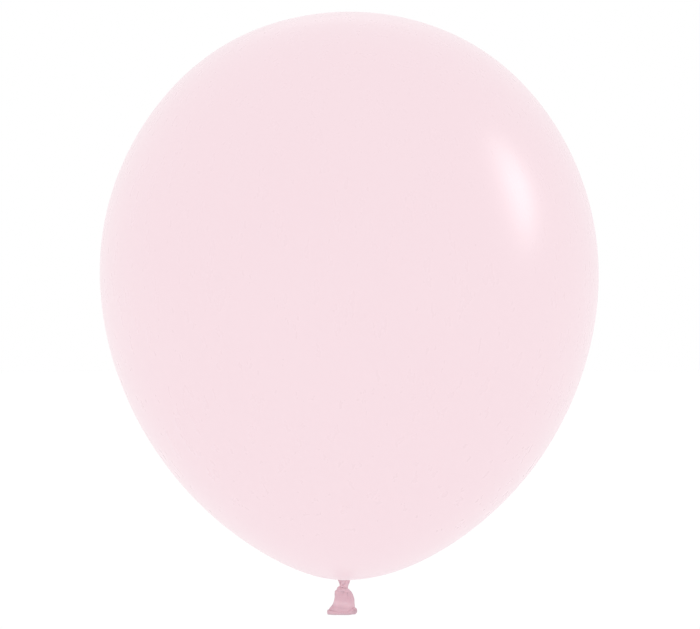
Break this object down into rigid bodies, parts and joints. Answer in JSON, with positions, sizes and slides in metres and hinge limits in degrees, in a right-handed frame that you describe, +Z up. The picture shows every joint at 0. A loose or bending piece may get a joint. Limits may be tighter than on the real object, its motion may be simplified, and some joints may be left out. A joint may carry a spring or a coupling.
{
  "type": "latex balloon",
  "caption": "Large round latex party balloon, inflated and tied, with a gathered throat, a narrow neck, a tight knot and a short flared tail with a rolled lip.",
  "frame": {"origin": "centre of the waist, the narrow stretch of neck between the envelope and the knot, where a ribbon is tied", "axes": "+Z up along the neck towards the crown, +X to the right along the wide side of the flat tail, +Y away from the front"},
  "size_m": [0.457, 0.457, 0.5517],
  "materials": {
    "latex_inflated": "satin, stretched pastel pink latex film with a soft sheen",
    "latex_neck": "matte to satin, thick unstretched pink latex"
  },
  "bodies": {
    "balloon": {"envelope": "latex_inflated", "throat_gather": "latex_neck"},
    "neck": {"neck_stem": "latex_neck"},
    "knot": {"knot_strand": "latex_neck", "knot_loop": "latex_neck"},
    "tail": {"tail_skirt": "latex_neck", "lip_bead": "latex_neck"}
  },
  "joints": [
    {"name": "neck_twist", "type": "hinge", "parent": "balloon", "child": "neck", "pos_m": [0, 0, 0.0024], "axis": [0, 0, 1], "range_deg": [-180, 180], "stiffness_Nm_per_rad": 0.0002},
    {"name": "knot_tilt", "type": "hinge", "parent": "neck", "child": "knot", "pos_m": [0, 0, 0], "axis": [0, 1, 0], "range_deg": [-45, 28], "stiffness_Nm_per_rad": 0.0005},
    {"name": "tail_flex", "type": "hinge", "parent": "knot", "child": "tail", "pos_m": [-0.00065, 0, -0.0072], "axis": [1, 0, 0], "range_deg": [-60, 60], "stiffness_Nm_per_rad": 0.0002}
  ]
}
